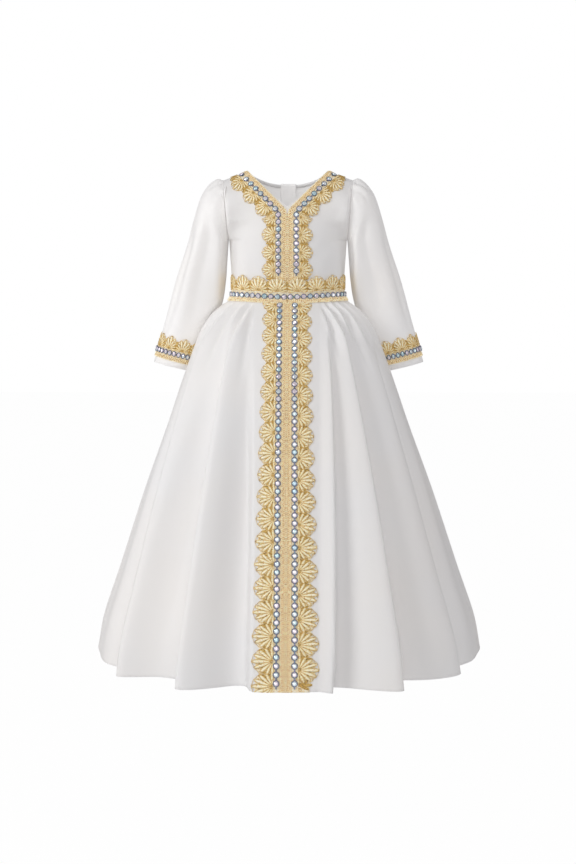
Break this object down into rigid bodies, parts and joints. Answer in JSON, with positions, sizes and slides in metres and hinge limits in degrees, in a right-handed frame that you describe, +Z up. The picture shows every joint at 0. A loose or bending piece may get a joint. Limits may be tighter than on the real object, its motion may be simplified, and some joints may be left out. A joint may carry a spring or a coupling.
{
  "type": "flower girl dress",
  "caption": "Child's long white satin dress with a V neck, long sleeves and full skirt, trimmed with gold fan lace and rhinestone chain.",
  "frame": {"origin": "middle of the shoulder line, at the height where the shoulder seams meet the neck, where the wearer's shoulders carry the dress", "axes": "+Z up, -Y towards the front of the dress, +X to the wearer's left"},
  "size_m": [0.7019, 0.5848, 0.8615],
  "materials": {
    "satin": "smooth duchesse satin, soft sheen",
    "gold_lace": "metallic gold thread lace and braid",
    "rhinestone": "faceted stones with an iridescent coating in dark metal cups",
    "zip_tape": "woven nylon tape",
    "white_metal": "gloss white enamel"
  },
  "bodies": {
    "dress": {"bodice_back_left": "satin", "bodice_back_right": "satin", "bodice_front": "satin", "chain_bodice_left": "rhinestone", "chain_bodice_right": "rhinestone", "chain_cuff_left": "rhinestone", "chain_cuff_right": "rhinestone", "chain_skirt_left": "rhinestone", "chain_skirt_right": "rhinestone", "chain_waist_left": "rhinestone", "chain_waist_right": "rhinestone", "lace_bodice_left": "gold_lace", "lace_bodice_right": "gold_lace", "lace_cuff_left": "gold_lace", "lace_cuff_right": "gold_lace", "lace_skirt_left": "gold_lace", "lace_skirt_right": "gold_lace", "lace_waist_left": "gold_lace", "lace_waist_right": "gold_lace", "skirt_back_left": "satin", "skirt_back_right": "satin", "skirt_front": "satin", "sleeve_left": "satin", "sleeve_right": "satin", "zip": "zip_tape", "zip_guard": "satin", "zip_slider": "white_metal"},
    "zip_pull": {"zip_pull": "white_metal"}
  },
  "joints": [
    {"name": "zip_pull_hinge", "type": "hinge", "parent": "dress", "child": "zip_pull", "pos_m": [0, 0.06825, -0.03523], "axis": [1, 0, 0], "range_deg": [0, 150]}
  ]
}
